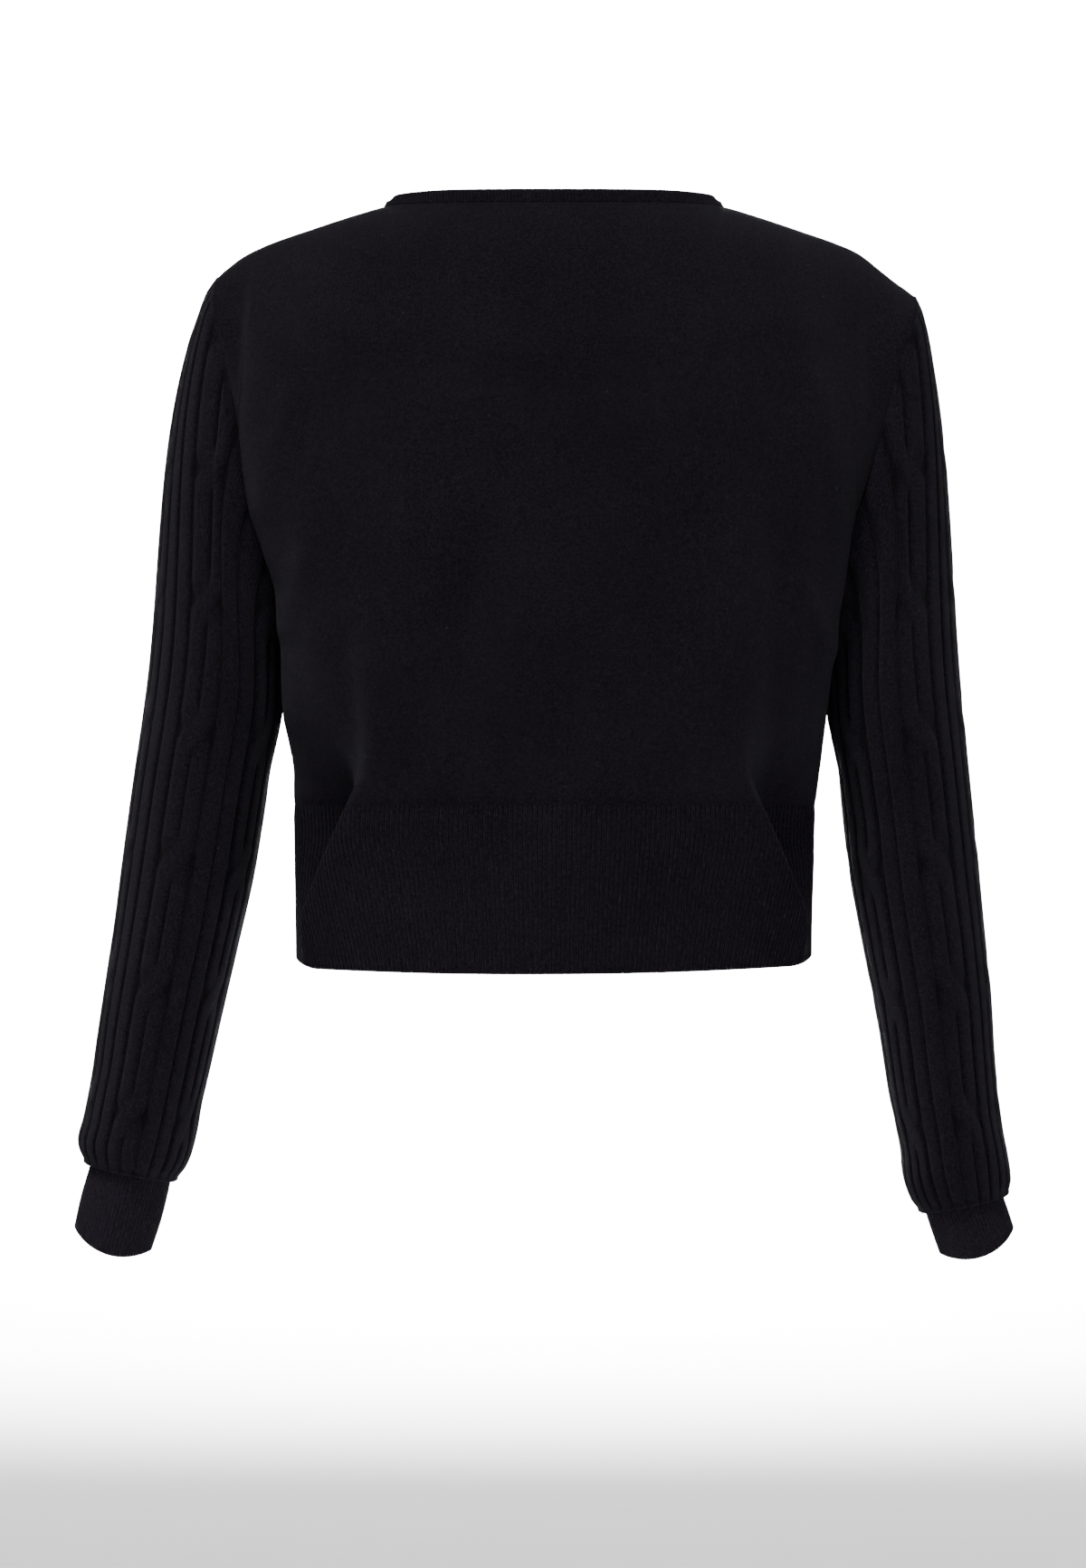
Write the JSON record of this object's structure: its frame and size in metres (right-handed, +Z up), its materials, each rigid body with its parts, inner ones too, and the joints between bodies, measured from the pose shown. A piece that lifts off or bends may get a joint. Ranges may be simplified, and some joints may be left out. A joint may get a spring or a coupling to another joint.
{
  "type": "cardigan",
  "caption": "Cropped knit cardigan with a plain jersey body, cable-and-rib long sleeves, ribbed hem and cuffs and a narrow neck band, filled out as worn and buttoned.",
  "frame": {"origin": "middle of the neck opening, level with the highest points of the shoulders, where the neck and shoulders hold the garment", "axes": "+Z up, +X to the wearer's left, +Y out of the back; the front closing faces -Y"},
  "size_m": [0.5417, 0.2118, 0.6094],
  "materials": {
    "body_jersey": "fine matte jersey",
    "sleeve_knit": "matte cable and rib knit",
    "rib_knit": "fine matte one-by-one rib",
    "button": "satin"
  },
  "bodies": {
    "root": {"back_panel": "body_jersey", "front_left": "body_jersey", "front_right": "body_jersey", "sleeve_left": "sleeve_knit", "sleeve_right": "sleeve_knit", "cuff_left": "rib_knit", "cuff_right": "rib_knit", "hem_rib_back": "rib_knit", "hem_rib_front_left": "rib_knit", "hem_rib_front_right": "rib_knit", "neck_band": "rib_knit", "button_band_left": "rib_knit", "button_band_right": "rib_knit", "button_1": "button", "button_2": "button", "button_3": "button", "button_4": "button", "button_5": "button", "button_6": "button"}
  },
  "joints": []
}
